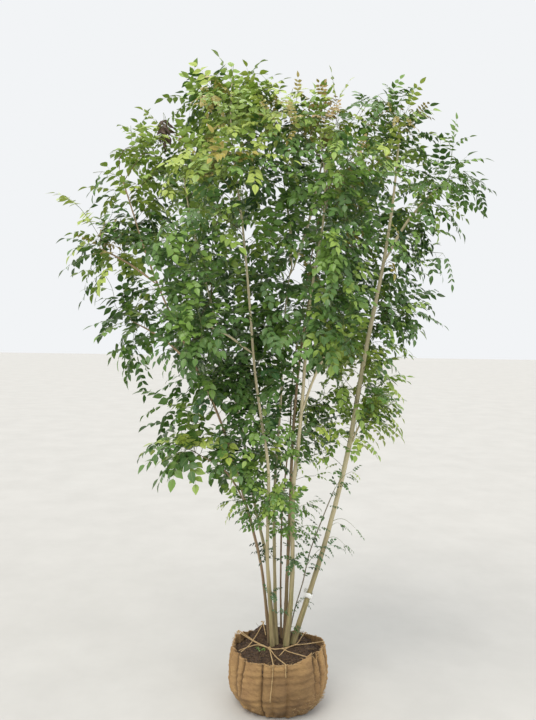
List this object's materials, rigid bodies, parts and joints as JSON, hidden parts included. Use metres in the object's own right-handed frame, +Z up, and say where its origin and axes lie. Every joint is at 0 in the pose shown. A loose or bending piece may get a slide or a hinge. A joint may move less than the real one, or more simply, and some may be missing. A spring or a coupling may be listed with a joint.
{
  "type": "multi-stem evergreen sapling with root ball",
  "caption": "Evergreen sapling with many slender stems and small glossy compound leaves, standing on a root ball tied in jute burlap.",
  "frame": {"origin": "centre of the flat underside of the wrapped root ball, on the ground", "axes": "+Z up along the plant, -Y towards the viewer of the picture, +X to the viewer's right"},
  "size_m": [1.6593, 1.036, 2.58],
  "materials": {
    "jute_burlap": "coarse plain weave, matt",
    "jute_twine": "twisted twine, matt",
    "soil": "crumbly loam with fine roots",
    "pale_bark": "smooth young bark with long streaks",
    "red_bark": "smooth young bark with pale pores",
    "stem_label": "plain white tape",
    "leaf_young": "glossy young leaf, yellow-green",
    "leaf_bright": "glossy leaf, bright green",
    "leaf_mid": "glossy leaf, mid green",
    "leaf_deep": "glossy old leaf, deep green"
  },
  "bodies": {
    "root": {"burlap_wrap": "jute_burlap", "root_ball_soil": "soil", "ball_twine": "jute_twine", "stem_outer_left": "red_bark", "stem_back_left": "pale_bark", "stem_front_left": "pale_bark", "stem_middle": "pale_bark", "stem_thin_back": "red_bark", "stem_red": "red_bark", "stem_pale": "pale_bark", "stem_right": "pale_bark", "stem_whip": "red_bark", "stem_label": "stem_label", "bough_fork_left": "pale_bark", "bough_fork_right": "pale_bark", "bough_pale_fork": "pale_bark", "bough_upper_right": "pale_bark", "bough_far_left": "red_bark", "bough_lower_left": "red_bark", "bough_wing": "red_bark", "bough_skirt_right": "pale_bark", "bough_front_left": "pale_bark", "bough_back_left": "pale_bark", "bough_back_right": "red_bark", "leaves_top_left": "leaf_young", "leaves_top_sprig": "leaf_young", "leaves_top_middle": "leaf_young", "leaves_top_right": "leaf_young", "leaves_upper_left": "leaf_young", "leaves_left_shoulder": "leaf_bright", "leaves_right_shoulder": "leaf_bright", "leaves_upper_front_left": "leaf_bright", "leaves_upper_front_right": "leaf_bright", "leaves_upper_back_left": "leaf_bright", "leaves_upper_back_right": "leaf_bright", "leaves_upper_heart": "leaf_deep", "leaves_middle_left": "leaf_mid", "leaves_far_left": "leaf_bright", "leaves_middle_front_left": "leaf_mid", "leaves_middle_back_left": "leaf_mid", "leaves_middle_front_right": "leaf_mid", "leaves_middle_back_right": "leaf_mid", "leaves_middle_right": "leaf_mid", "leaves_right_hanging": "leaf_mid", "leaves_heart": "leaf_deep", "leaves_lower_left": "leaf_mid", "leaves_lower_front_left": "leaf_mid", "leaves_lower_back_left": "leaf_deep", "leaves_lower_front_right": "leaf_mid", "leaves_lower_back_right": "leaf_deep", "leaves_lower_right": "leaf_mid", "leaves_lower_heart": "leaf_deep", "leaves_skirt_left": "leaf_mid", "leaves_wing": "leaf_mid", "leaves_skirt_front": "leaf_mid", "leaves_skirt_back": "leaf_deep", "leaves_skirt_right": "leaf_mid", "leaves_hem": "leaf_mid", "leaves_hem_right": "leaf_mid"}
  },
  "joints": []
}
